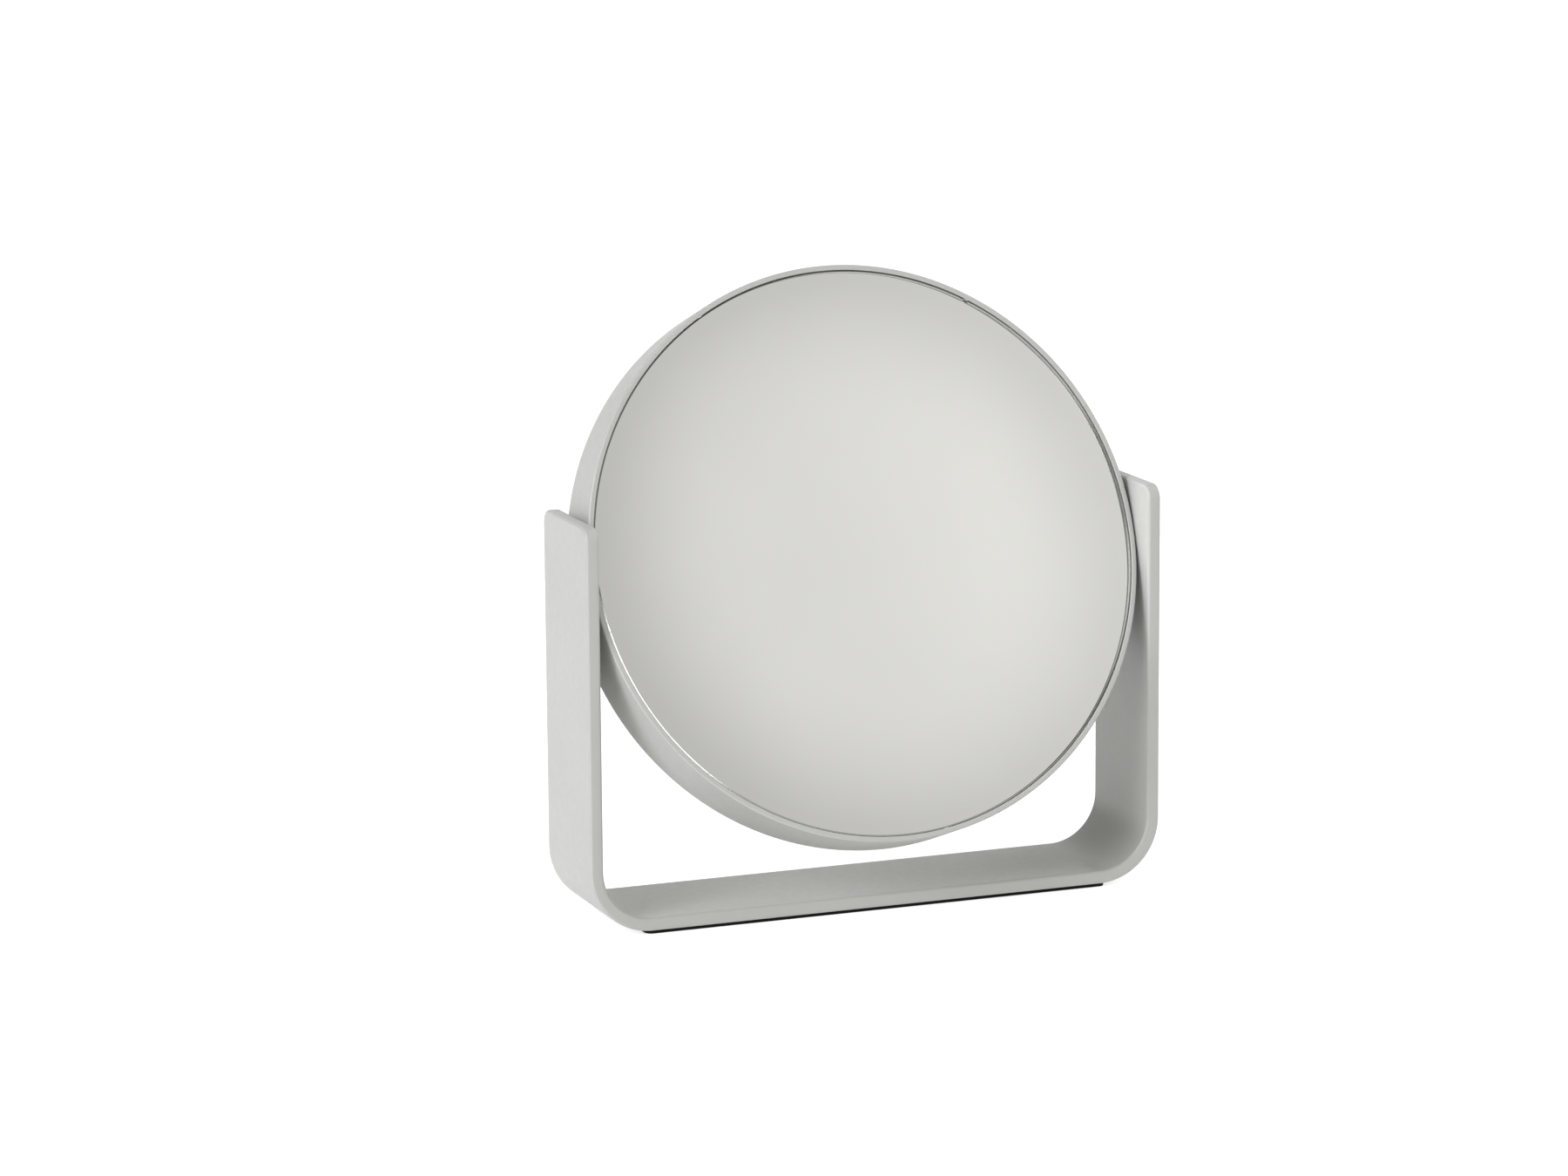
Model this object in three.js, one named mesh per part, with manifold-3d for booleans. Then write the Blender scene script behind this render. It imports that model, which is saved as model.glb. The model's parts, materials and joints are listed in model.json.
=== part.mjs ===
// Free-standing swivel mirror: a flat-strip U stand holds a round, double-sided
// mirror between its uprights on two hidden horizontal pivots.
//
// Units are millimetres. +Z is up and -Y is the front. The origin is on the table,
// under the middle of the stand.

import * as THREE from 'three';
import { mergeVertices } from 'three/addons/utils/BufferGeometryUtils.js';
import Module from 'manifold-3d';

const wasm = await Module();
wasm.setup();

// ---- driving dimensions -------------------------------------------------------

// Stand: one flat steel strip bent into a U.
const standWidth = 190; // outside to outside of the uprights
const stripWidth = 40; // front to back
const stripThickness = 4.2; // steel with its powder coat
const bendRadius = 20; // outside of the two lower bends
const topCornerRadius = 4.6; // rounded corners of the upright ends
const uprightAbovePivot = 19.1;
const underMirrorGap = 12; // between the bar and the mirror's edge as it swings past

// Pad under the stand.
const padLength = 154;
const padWidth = 38.4;
const padThickness = 0.85;
const padCornerRadius = 2.5;
const adhesiveThickness = 0.15;
const adhesiveInset = 0.6;

// Mirror drum.
const restTilt = THREE.MathUtils.degToRad(19.8); // top leaned back
const sideGap = 0.5; // between the rim and each upright
const rimWall = 1.7;
const rimEdgeBreak = 0.35;
const lipHeight = 0.3; // rim standing proud of the retaining ring
const ringWidth = 0.55; // spring ring that keeps each glass in, across its line
const ringHeight = 1.5; // from the glass to the ring's front
const ringOpening = 1.0; // between the ends of a retaining ring
const ringOpeningAngle = THREE.MathUtils.degToRad(60); // from +X towards +Z
const glassThickness = 3;
const dishDepth = 5; // of the concave magnifying glass
const foamThickness = 0.7;
const foamWidth = 3.9;
const spacerWidth = 4.9; // radial
const spacerSkin = 1.6;

// Pivot on each side.
const shoulderRadius = 2.5;
const threadRadius = 1.95;
const headHeight = 2.8;
const headOverhang = 1.3; // head past the shoulder
const socketAcrossFlats = 3;
const socketDepth = 1.5;
const skinBehindThread = 1.2; // strip left uncut outside the blind hole
const threadEndGap = 0.2; // screw's end to the bottom of that hole
const bushWall = 0.83;
const bushFlangeThickness = 1;
const bushEndInset = 0.35; // bush end below the rim's outer face
const washerOverhang = 1.9; // washers and bush flange past the shoulder
const outerWasherOverhang = 3.5;
const thrustWasherThickness = 0.8;
const springWire = 0.4;
const springHeight = 0.7;
const plainWasherThickness = 0.5;
const blockWall = 1.4; // steel round the bush
const blockReach = 7.6; // from the rim's inside towards the middle
const blockHalfWidth = 12;
const blockToGlass = 0.45;

// Clearances.
const seatGap = 0.05; // between faces that bear on each other
const rimFit = 0.2; // inside the rim, all round
const ringFit = 0.12; // retaining ring in the rim
const glassFit = 0.3; // glass in the rim
const pressFit = 0.1; // bush in its holes, thread in its hole
const runningFit = 0.08; // bush and washers round the shoulder
const spacerEndGap = 0.3; // spacer halves to the pivot blocks

// Facets.
const drumFacets = 72;
const pinFacets = 24;
const bendFacets = 10;

// ---- sizes worked out from them -----------------------------------------------

const uprightInside = standWidth / 2 - stripThickness;
const standBase = padThickness + adhesiveThickness;
const rimRadius = uprightInside - sideGap;
const rimInside = rimRadius - rimWall;
const bushBore = shoulderRadius + runningFit;
const bushRadius = bushBore + bushWall;
const bushHole = bushRadius + pressFit;
const blockHalfDepth = bushHole + blockWall;
const coreHalfDepth = blockHalfDepth + blockToGlass;
const foamBack = coreHalfDepth + seatGap;
const glassBack = foamBack + foamThickness + seatGap;
const glassFront = glassBack + glassThickness;
const ringBack = glassFront + seatGap;
const ringFront = ringBack + ringHeight;
const rimHalfDepth = ringFront + lipHeight;
const glassRadius = rimInside - glassFit;
const swingRadius = Math.hypot(rimRadius, rimHalfDepth);
const pivotHeight = standBase + stripThickness + underMirrorGap + swingRadius;
const standTop = pivotHeight + uprightAbovePivot;
const blindHoleDepth = stripThickness - skinBehindThread;
const blockInside = rimInside - blockReach;

// ---- solids -------------------------------------------------------------------

// Welds a geometry into one closed body, without zero-area faces.
function weld(geometry) {
  const bare = geometry.clone();
  bare.deleteAttribute('normal');
  bare.deleteAttribute('uv');
  const merged = mergeVertices(bare, 1e-4);
  const corners = merged.index.array;
  const kept = [];
  for (let i = 0; i < corners.length; i += 3) {
    const [a, b, c] = [corners[i], corners[i + 1], corners[i + 2]];
    if (a !== b && b !== c && c !== a) kept.push(a, b, c);
  }
  merged.setIndex(kept);
  return merged;
}

function toSolid(geometry) {
  const closed = weld(geometry);
  return new wasm.Manifold(new wasm.Mesh({
    numProp: 3,
    vertProperties: new Float32Array(closed.attributes.position.array),
    triVerts: new Uint32Array(closed.index.array),
  }));
}

function toGeometry(solid) {
  const mesh = solid.getMesh();
  const geometry = new THREE.BufferGeometry();
  geometry.setAttribute('position', new THREE.Float32BufferAttribute(mesh.vertProperties, 3));
  geometry.setIndex(Array.from(mesh.triVerts));
  return geometry;
}

function cut(geometry, ...tools) {
  return toGeometry(tools.reduce((left, tool) => left.subtract(toSolid(tool)), toSolid(geometry)));
}

function common(geometry, other) {
  return toGeometry(toSolid(geometry).intersect(toSolid(other)));
}

// Turns a profile of [radius, along] pairs, counterclockwise, about the Y axis.
function turned(profile, facets) {
  const points = profile.map(([radius, along]) => new THREE.Vector2(radius, along));
  const meetsAxis = profile[0][0] === 0;
  if (!meetsAxis) points.push(points[0].clone());
  return new THREE.LatheGeometry(points, facets);
}

// A plain ring or washer between two radii and two places along its axis.
function turnedRing(inner, outer, from, to, facets) {
  return turned([[inner, from], [outer, from], [outer, to], [inner, to]], facets);
}

function rod(radius, from, to, facets) {
  return turned([[0, from], [radius, from], [radius, to], [0, to]], facets);
}

// Lays a piece turned about Y along the X axis, its far end towards the given side.
function alongX(geometry, side) {
  return geometry.rotateZ(side > 0 ? -Math.PI / 2 : Math.PI / 2);
}

function boxBetween(low, high) {
  const size = high.map((value, i) => value - low[i]);
  const middle = high.map((value, i) => (value + low[i]) / 2);
  return new THREE.BoxGeometry(...size).translate(...middle);
}

// ---- stand --------------------------------------------------------------------

function uShape() {
  const half = standWidth / 2;
  const inner = bendRadius - stripThickness;
  const bendX = half - bendRadius;
  const bendZ = standBase + bendRadius;
  const shape = new THREE.Shape();
  shape.moveTo(-half, standTop);
  shape.lineTo(-half, bendZ);
  shape.absarc(-bendX, bendZ, bendRadius, Math.PI, 1.5 * Math.PI, false);
  shape.absarc(bendX, bendZ, bendRadius, 1.5 * Math.PI, 2 * Math.PI, false);
  shape.lineTo(half, standTop);
  shape.lineTo(uprightInside, standTop);
  shape.absarc(bendX, bendZ, inner, 2 * Math.PI, 1.5 * Math.PI, true);
  shape.absarc(-bendX, bendZ, inner, 1.5 * Math.PI, Math.PI, true);
  shape.lineTo(-uprightInside, standTop);
  return shape;
}

// Side view of the stand: a strip with both upper corners rounded.
function uprightEndShape() {
  const half = stripWidth / 2;
  const corner = topCornerRadius;
  const shape = new THREE.Shape();
  shape.moveTo(-half, 0);
  shape.lineTo(half, 0);
  shape.absarc(half - corner, standTop - corner, corner, 0, Math.PI / 2, false);
  shape.absarc(corner - half, standTop - corner, corner, Math.PI / 2, Math.PI, false);
  return shape;
}

function standFrame() {
  const bent = new THREE.ExtrudeGeometry(uShape(), {
    depth: stripWidth, bevelEnabled: false, curveSegments: bendFacets,
  });
  bent.rotateX(Math.PI / 2).translate(0, stripWidth / 2, 0);
  const side = new THREE.ExtrudeGeometry(uprightEndShape(), {
    depth: standWidth + 2, bevelEnabled: false, curveSegments: bendFacets,
  });
  side.translate(0, 0, -standWidth / 2 - 1);
  side.applyMatrix4(new THREE.Matrix4().makeBasis(
    new THREE.Vector3(0, 1, 0), new THREE.Vector3(0, 0, 1), new THREE.Vector3(1, 0, 0),
  ));
  const holes = [-1, 1].map((toSide) => alongX(
    rod(threadRadius + pressFit, uprightInside - 1, uprightInside + blindHoleDepth, pinFacets),
    toSide,
  ).translate(0, 0, pivotHeight));
  return cut(common(bent, side), ...holes);
}

function roundedSheet(length, width, corner, from, to) {
  const x = length / 2 - corner;
  const y = width / 2 - corner;
  const shape = new THREE.Shape();
  shape.absarc(x, y, corner, 0, Math.PI / 2, false);
  shape.absarc(-x, y, corner, Math.PI / 2, Math.PI, false);
  shape.absarc(-x, -y, corner, Math.PI, 1.5 * Math.PI, false);
  shape.absarc(x, -y, corner, 1.5 * Math.PI, 2 * Math.PI, false);
  return new THREE.ExtrudeGeometry(shape, {
    depth: to - from, bevelEnabled: false, curveSegments: bendFacets,
  }).translate(0, 0, from);
}

function basePad() {
  return roundedSheet(padLength, padWidth, padCornerRadius, 0, padThickness);
}

function padAdhesive() {
  return roundedSheet(
    padLength - 2 * adhesiveInset, padWidth - 2 * adhesiveInset,
    padCornerRadius - adhesiveInset, padThickness, standBase,
  );
}

// ---- mirror drum, built about the Y axis with its front towards -Y --------------

function mirrorRim() {
  const band = turned([
    [rimInside, -rimHalfDepth],
    [rimRadius - rimEdgeBreak, -rimHalfDepth],
    [rimRadius, rimEdgeBreak - rimHalfDepth],
    [rimRadius, rimHalfDepth - rimEdgeBreak],
    [rimRadius - rimEdgeBreak, rimHalfDepth],
    [rimInside, rimHalfDepth],
  ], drumFacets);
  const pivotBore = alongX(rod(bushHole, -rimRadius - 1, rimRadius + 1, pinFacets), 1);
  return cut(band, pivotBore);
}

// Depth of the dish at a radius, on a sphere through the glass's edge.
function dishAt(radius) {
  const sphere = (glassRadius ** 2 + dishDepth ** 2) / (2 * dishDepth);
  return dishDepth - (sphere - Math.sqrt(sphere ** 2 - radius ** 2));
}

function magnifyingGlass() {
  const steps = 5;
  const radii = Array.from({ length: steps + 1 }, (_, i) => (glassRadius * i) / steps);
  const front = radii.map((radius) => [radius, dishAt(radius) - glassFront]);
  const back = radii.map((radius) => [radius, dishAt(radius) - glassBack]).reverse();
  return turned([...front, ...back], drumFacets);
}

function plainGlass() {
  return rod(glassRadius, glassBack, glassFront, drumFacets);
}

// A split ring with square ends, sprung outwards inside the rim.
function retainingRing(from) {
  const outer = rimInside - ringFit;
  const inner = outer - ringWidth;
  const halfOpening = ringOpening / outer / 2;
  const start = ringOpeningAngle + halfOpening;
  const end = ringOpeningAngle - halfOpening + 2 * Math.PI;
  const shape = new THREE.Shape();
  shape.absarc(0, 0, outer, start, end, false);
  shape.absarc(0, 0, inner, end, start, true);
  return new THREE.ExtrudeGeometry(shape, {
    depth: ringHeight, bevelEnabled: false, curveSegments: drumFacets,
  }).rotateX(Math.PI / 2).translate(0, from + ringHeight, 0);
}

// Foam that fills the wedge between the dished glass and the flat spacer.
function frontFoam() {
  const outer = glassRadius - rimFit;
  const inner = outer - foamWidth;
  const behindGlass = (radius) => dishAt(radius) - glassBack + seatGap;
  return turned([
    [inner, behindGlass(inner)],
    [outer, behindGlass(outer)],
    [outer, -foamBack],
    [inner, -foamBack],
  ], drumFacets);
}

function rearFoam() {
  const outer = glassRadius - rimFit;
  return turnedRing(outer - foamWidth, outer, foamBack, foamBack + foamThickness, drumFacets);
}

// One half of the channel that keeps the two glasses apart; it stops at the blocks.
function spacerHalf(toTop) {
  const outer = rimInside - rimFit;
  const inner = outer - spacerWidth;
  const web = outer - spacerSkin;
  const half = coreHalfDepth;
  const channel = turned([
    [inner, -half], [outer, -half], [outer, half], [inner, half],
    [inner, half - spacerSkin], [web, half - spacerSkin],
    [web, spacerSkin - half], [inner, spacerSkin - half],
  ], drumFacets);
  const end = blockHalfWidth + spacerEndGap;
  const past = rimRadius + 1;
  const low = toTop ? end : -past;
  const high = toTop ? past : -end;
  return common(channel, boxBetween([-past, -past, low], [past, past, high]));
}

// Steel block inside the rim that carries the bush.
function pivotBlock(side) {
  const bar = boxBetween(
    [blockInside, -blockHalfDepth, -blockHalfWidth],
    [rimRadius, blockHalfDepth, blockHalfWidth],
  );
  const drum = rod(rimInside - rimFit, -rimHalfDepth, rimHalfDepth, drumFacets);
  const bore = alongX(rod(bushHole, blockInside - 1, rimRadius, pinFacets), 1);
  const block = cut(common(bar, drum), bore);
  return side > 0 ? block : block.rotateY(Math.PI);
}

// ---- pivot stack, laid out from the block's inner face towards the middle --------

const flangeTo = blockInside - seatGap;
const flangeFrom = flangeTo - bushFlangeThickness;
const thrustTo = flangeFrom - seatGap;
const thrustFrom = thrustTo - thrustWasherThickness;
const springTo = thrustFrom - seatGap;
const springFrom = springTo - springHeight;
const plainTo = springFrom - seatGap;
const plainFrom = plainTo - plainWasherThickness;
const headTo = plainFrom - seatGap;
const headFrom = headTo - headHeight;
const washerRadius = shoulderRadius + washerOverhang;

function pivotBush(side) {
  return alongX(turned([
    [bushBore, flangeFrom],
    [washerRadius, flangeFrom],
    [washerRadius, flangeTo],
    [bushRadius, flangeTo],
    [bushRadius, rimRadius - bushEndInset],
    [bushBore, rimRadius - bushEndInset],
  ], pinFacets), side);
}

function pivotScrew(side) {
  const body = turned([
    [0, headFrom],
    [shoulderRadius + headOverhang, headFrom],
    [shoulderRadius + headOverhang, headTo],
    [shoulderRadius, headTo],
    [shoulderRadius, uprightInside],
    [threadRadius, uprightInside],
    [threadRadius, uprightInside + blindHoleDepth - threadEndGap],
    [0, uprightInside + blindHoleDepth - threadEndGap],
  ], pinFacets);
  const hexRadius = socketAcrossFlats / Math.sqrt(3);
  const socket = rod(hexRadius, headFrom - 1, headFrom + socketDepth, 6);
  return alongX(cut(body, socket), side);
}

function frictionWasher(side) {
  return alongX(turnedRing(
    bushBore, shoulderRadius + outerWasherOverhang,
    rimRadius + seatGap, uprightInside - seatGap, pinFacets,
  ), side);
}

function thrustWasher(side) {
  return alongX(turnedRing(bushBore, washerRadius, thrustFrom, thrustTo, pinFacets), side);
}

function discSpring(side) {
  return alongX(turned([
    [bushBore, springFrom],
    [washerRadius, springTo - springWire],
    [washerRadius, springTo],
    [bushBore, springFrom + springWire],
  ], pinFacets), side);
}

function plainWasher(side) {
  return alongX(turnedRing(bushBore, washerRadius, plainFrom, plainTo, pinFacets), side);
}

// ---- materials ----------------------------------------------------------------

function material(color, roughness, metalness) {
  return new THREE.MeshStandardMaterial({ color, roughness, metalness });
}

const powderCoat = () => material(0xb9bab5, 0.6, 0.1);
const blackRubber = () => material(0x151515, 0.85, 0);
const adhesive = () => material(0x8f8c80, 0.7, 0);
const silvered = () => material(0xdcdcda, 0.05, 1);
const springSteel = () => material(0xc9cbcc, 0.15, 1);
const blackPlastic = () => material(0x26272a, 0.6, 0);
const foam = () => material(0x3a3b3d, 0.95, 0);
const zincSteel = () => material(0x9a9ea2, 0.35, 0.9);
const acetal = () => material(0xe6e4dc, 0.4, 0);

// ---- assembly -----------------------------------------------------------------

function piece(name, geometry, finish) {
  const mesh = new THREE.Mesh(weld(geometry), finish);
  mesh.name = name;
  return mesh;
}

const group = new THREE.Group();

group.add(
  piece('stand_frame', standFrame(), powderCoat()),
  piece('base_pad', basePad(), blackRubber()),
  piece('pad_adhesive', padAdhesive(), adhesive()),
);

const drum = new THREE.Group();
drum.position.z = pivotHeight;
drum.rotation.x = -restTilt;
drum.add(
  piece('mirror_rim', mirrorRim(), powderCoat()),
  piece('magnifying_glass', magnifyingGlass(), silvered()),
  piece('plain_glass', plainGlass(), silvered()),
  piece('retaining_ring_front', retainingRing(-ringFront), springSteel()),
  piece('retaining_ring_rear', retainingRing(ringBack), springSteel()),
  piece('foam_ring_front', frontFoam(), foam()),
  piece('foam_ring_rear', rearFoam(), foam()),
  piece('spacer_upper', spacerHalf(true), blackPlastic()),
  piece('spacer_lower', spacerHalf(false), blackPlastic()),
);
group.add(drum);

const pivots = new THREE.Group();
pivots.position.z = pivotHeight;
for (const [side, word] of [[-1, 'left'], [1, 'right']]) {
  drum.add(
    piece(`pivot_block_${word}`, pivotBlock(side), zincSteel()),
    piece(`pivot_bush_${word}`, pivotBush(side), acetal()),
    piece(`thrust_washer_${word}`, thrustWasher(side), acetal()),
  );
  pivots.add(
    piece(`pivot_screw_${word}`, pivotScrew(side), zincSteel()),
    piece(`friction_washer_${word}`, frictionWasher(side), acetal()),
    piece(`disc_spring_${word}`, discSpring(side), springSteel()),
    piece(`plain_washer_${word}`, plainWasher(side), zincSteel()),
  );
}
group.add(pivots);

export default group;
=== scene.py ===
import json
import math

import bmesh
import bpy
from bpy.props import FloatProperty, FloatVectorProperty, IntProperty, PointerProperty
from mathutils import Matrix, Vector


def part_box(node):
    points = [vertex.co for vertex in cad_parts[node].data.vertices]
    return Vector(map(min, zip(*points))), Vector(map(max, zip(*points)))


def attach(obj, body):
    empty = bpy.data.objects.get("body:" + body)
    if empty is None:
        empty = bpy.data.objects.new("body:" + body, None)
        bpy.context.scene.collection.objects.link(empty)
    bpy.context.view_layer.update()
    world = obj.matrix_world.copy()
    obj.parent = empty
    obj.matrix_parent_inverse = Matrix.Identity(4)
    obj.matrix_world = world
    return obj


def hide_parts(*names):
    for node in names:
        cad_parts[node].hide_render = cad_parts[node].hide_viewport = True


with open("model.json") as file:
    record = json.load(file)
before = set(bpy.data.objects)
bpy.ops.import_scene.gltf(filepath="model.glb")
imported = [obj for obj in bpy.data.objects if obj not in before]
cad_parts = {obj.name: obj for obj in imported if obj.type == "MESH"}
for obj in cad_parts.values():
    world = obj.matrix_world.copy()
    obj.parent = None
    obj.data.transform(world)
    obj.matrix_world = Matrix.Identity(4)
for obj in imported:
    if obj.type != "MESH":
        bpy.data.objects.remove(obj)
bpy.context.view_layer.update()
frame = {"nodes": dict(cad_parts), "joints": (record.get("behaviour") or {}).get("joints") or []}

bl_info = {
    "name": "Swivel Table Mirror",
    "version": (1, 0, 0),
    "blender": (4, 5, 0),
    "location": "View3D > Sidebar > Swivel Mirror",
    "description": "Models a double-sided swivel mirror on a bent strip stand, round its packed frame",
    "category": "Object",
}

FLOOR_RADIUS = 14
SENSOR_WIDTH = 36
STAND_BODY = "stand"
DRUM_BODY = "mirror"
SIDES = (("left", -1), ("right", 1))
PIVOT = Vector(frame["joints"][0]["pos_m"])
MM = 0.001
SHARP_ANGLE = math.radians(30)
WELD = 1e-7
NEAR = 10 * WELD
# The second ring finish is a black that paints the shade in the gaps at the ring's foot and outer
# side.
POLISHED, GAP_SHADE, DRAWN = 0, 1, 2  # finishes of a split ring, in its material order
SILVERED, GROUND, PAINTED = 0, 1, 2  # finishes of a glass, in its material order


# ---- sizes and colours --------------------------------------------------------


class MirrorSizes(bpy.types.PropertyGroup):
    """Sizes that finish the pieces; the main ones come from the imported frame."""

    rest_tilt: FloatProperty(
        name="Rest tilt", description="How far the drum's top leans back at rest",
        default=math.radians(19.8), subtype="ANGLE",
    )
    strip_thickness: FloatProperty(
        name="Strip thickness", description="Thickness of the bent strip with its coat",
        default=4.2 * MM, unit="LENGTH",
    )
    bend_radius: FloatProperty(
        name="Bend radius", description="Outside radius of the stand's two bends",
        default=20 * MM, unit="LENGTH",
    )
    end_corner_radius: FloatProperty(
        name="End corner radius", description="Rounded corners at the top of each upright",
        default=4.6 * MM, unit="LENGTH",
    )
    strip_edge_radius: FloatProperty(
        name="Strip edge radius", description="Rounding along the strip's edges",
        default=0.9 * MM, unit="LENGTH",
    )
    band_wall: FloatProperty(
        name="Band wall", description="Wall of the drum's round band",
        default=1.7 * MM, unit="LENGTH",
    )
    band_outer_radius: FloatProperty(
        name="Band outer edge", description="Rounding of the band's outer edges",
        default=0.6 * MM, unit="LENGTH",
    )
    band_inner_radius: FloatProperty(
        name="Band inner edge", description="Rounding of the band's inner edges",
        default=0.18 * MM, unit="LENGTH",
    )
    dish_depth: FloatProperty(
        name="Dish depth", description="Depth of the magnifying glass's hollow",
        default=5 * MM, unit="LENGTH",
    )
    ring_width: FloatProperty(
        name="Ring width", description="Width of the split ring that holds each glass",
        default=0.44 * MM, unit="LENGTH",
    )
    ring_slope: FloatProperty(
        name="Ring slope", description="How far the ring's polished front falls away outwards",
        default=math.radians(17.8), subtype="ANGLE",
    )
    ring_edge_radius: FloatProperty(
        name="Ring edge", description="Broken edges of the ring's front",
        default=0.03 * MM, unit="LENGTH",
    )
    # The chamfer's black finish is painted shade where the ring meets the glass.
    ring_foot: FloatProperty(
        name="Ring foot", description="Blackened chamfer where the ring meets the glass",
        default=0.2 * MM, unit="LENGTH",
    )
    ring_opening_angle: FloatProperty(
        name="Ring opening angle", description="Where the ring's ends meet, up from the right",
        default=math.radians(60), subtype="ANGLE",
    )
    ring_opening: FloatProperty(
        name="Ring opening", description="Gap between the ring's two ends",
        default=1.5 * MM, unit="LENGTH",
    )
    glass_bevel: FloatProperty(
        name="Glass bevel", description="Ground bevel round each glass",
        default=0.3 * MM, unit="LENGTH",
    )
    pad_edge_radius: FloatProperty(
        name="Pad edge", description="Broken edges of the non-slip pad",
        default=0.1 * MM, unit="LENGTH",
    )
    pad_corner_radius: FloatProperty(
        name="Pad corner radius", description="Rounded corners of the non-slip pad",
        default=2.5 * MM, unit="LENGTH",
    )
    turn_steps: IntProperty(
        name="Turning steps", description="Facets round the drum", default=240, min=48,
    )


class PivotSizes(bpy.types.PropertyGroup):
    """Sizes of the parts on the two pivot axes."""

    bore_radius: FloatProperty(
        name="Bore radius", description="Running bore of the bushes and washers",
        default=2.58 * MM, unit="LENGTH",
    )
    bush_radius: FloatProperty(
        name="Bush radius", description="Barrel of the flanged bush",
        default=3.41 * MM, unit="LENGTH",
    )
    bush_hole_radius: FloatProperty(
        name="Bush hole radius", description="Hole through the band for the bush",
        default=3.51 * MM, unit="LENGTH",
    )
    flange_thickness: FloatProperty(
        name="Flange thickness", description="Flange of the bush",
        default=1.0 * MM, unit="LENGTH",
    )
    shoulder_radius: FloatProperty(
        name="Shoulder radius", description="Plain shoulder of the pivot screw",
        default=2.5 * MM, unit="LENGTH",
    )
    thread_radius: FloatProperty(
        name="Thread radius", description="Threaded end of the pivot screw",
        default=1.95 * MM, unit="LENGTH",
    )
    thread_length: FloatProperty(
        name="Thread length", description="How far the screw enters the upright",
        default=2.8 * MM, unit="LENGTH",
    )
    thread_depth: FloatProperty(
        name="Thread depth", description="From the thread's crest to its root",
        default=0.28 * MM, unit="LENGTH",
    )
    thread_pitch: FloatProperty(
        name="Thread pitch", description="Distance from one thread crest to the next",
        default=0.7 * MM, unit="LENGTH",
    )
    head_length: FloatProperty(
        name="Head length", description="Length of the screw's head",
        default=2.8 * MM, unit="LENGTH",
    )
    socket_width: FloatProperty(
        name="Socket width", description="Across the flats of the screw's hexagon socket",
        default=3.0 * MM, unit="LENGTH",
    )
    socket_depth: FloatProperty(
        name="Socket depth", description="Depth of the hexagon socket",
        default=1.5 * MM, unit="LENGTH",
    )
    spring_thickness: FloatProperty(
        name="Spring thickness", description="Sheet of the coned disc spring",
        default=0.4 * MM, unit="LENGTH",
    )
    blind_hole_radius: FloatProperty(
        name="Blind hole radius", description="Threaded hole in each upright",
        default=2.05 * MM, unit="LENGTH",
    )
    blind_hole_depth: FloatProperty(
        name="Blind hole depth", description="Depth of that hole",
        default=3.0 * MM, unit="LENGTH",
    )
    edge_radius: FloatProperty(
        name="Edge break", description="Broken edges of the small turned parts",
        default=0.1 * MM, unit="LENGTH",
    )


class MirrorColours(bpy.types.PropertyGroup):
    """Colours of the finishes, as linear values."""

    coat: FloatVectorProperty(
        name="Coat", description="Powder coat on the stand and band",
        default=(0.37, 0.374, 0.353), subtype="COLOR", min=0, max=1,
    )
    silver: FloatVectorProperty(
        name="Silvering", description="Tint of the silvered glass",
        default=(0.905, 0.90, 0.867), subtype="COLOR", min=0, max=1,
    )
    ring_metal: FloatVectorProperty(
        name="Ring metal", description="Polished spring steel of the split rings",
        default=(0.27, 0.27, 0.267), subtype="COLOR", min=0, max=1,
    )
    rubber: FloatVectorProperty(
        name="Rubber", description="Non-slip pad",
        default=(0.005, 0.005, 0.005), subtype="COLOR", min=0, max=1,
    )
    floor: FloatVectorProperty(
        name="Floor", description="Pale studio floor",
        default=(0.50, 0.50, 0.50), subtype="COLOR", min=0, max=1,
    )


class StudioSettings(bpy.types.PropertyGroup):
    """Camera and lights of the stage."""

    camera_azimuth: FloatProperty(
        name="Camera azimuth", description="Camera's turn round the object, towards its left side",
        default=0.36976, subtype="ANGLE",
    )
    camera_elevation: FloatProperty(
        name="Camera elevation", description="Camera's height above the horizon",
        default=0.19568, subtype="ANGLE",
    )
    camera_roll: FloatProperty(
        name="Camera roll", description="Camera's turn about its own axis",
        default=-0.00729, subtype="ANGLE",
    )
    camera_distance: FloatProperty(
        name="Camera distance", description="From the camera to the point it aims at",
        default=1.67926, unit="LENGTH",
    )
    camera_lens: FloatProperty(
        name="Camera lens", description="Focal length in millimetres on a 36 mm sensor",
        default=124.92,
    )
    aim_across: FloatProperty(
        name="Aim across", description="How far right of the stand's middle the camera aims",
        default=-0.02371, unit="LENGTH",
    )
    aim_height: FloatProperty(
        name="Aim height", description="Height that the camera aims at",
        default=0.10022, unit="LENGTH",
    )
    dome_strength: FloatProperty(
        name="Dome strength", description="Brightness of the dome between its lit areas",
        default=0.1, min=0,
    )
    floor_glow: FloatProperty(
        name="Floor glow", description="Light through the opal floor from below",
        default=0.63, min=0,
    )
    strip_radiance: FloatProperty(
        name="Strip brightness", description="Brightness of the narrow softbox", default=5.6, min=0,
    )
    strip_width: FloatProperty(
        name="Strip width", description="Width of the narrow softbox", default=0.23, unit="LENGTH",
    )
    strip_distance: FloatProperty(
        name="Strip distance", description="From the object to the narrow softbox",
        default=2.5, unit="LENGTH",
    )


def sizes():
    return bpy.context.scene.mirror_sizes


def pivots():
    return bpy.context.scene.mirror_pivots


def colours():
    return bpy.context.scene.mirror_colours


def studio():
    return bpy.context.scene.mirror_studio


# ---- places in the drum -------------------------------------------------------


def drum_matrix():
    """From the drum's own frame, its axis along Y and its front towards -Y, to the row's."""
    return Matrix.Translation(PIVOT) @ Matrix.Rotation(-sizes().rest_tilt, 4, "X")


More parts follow.
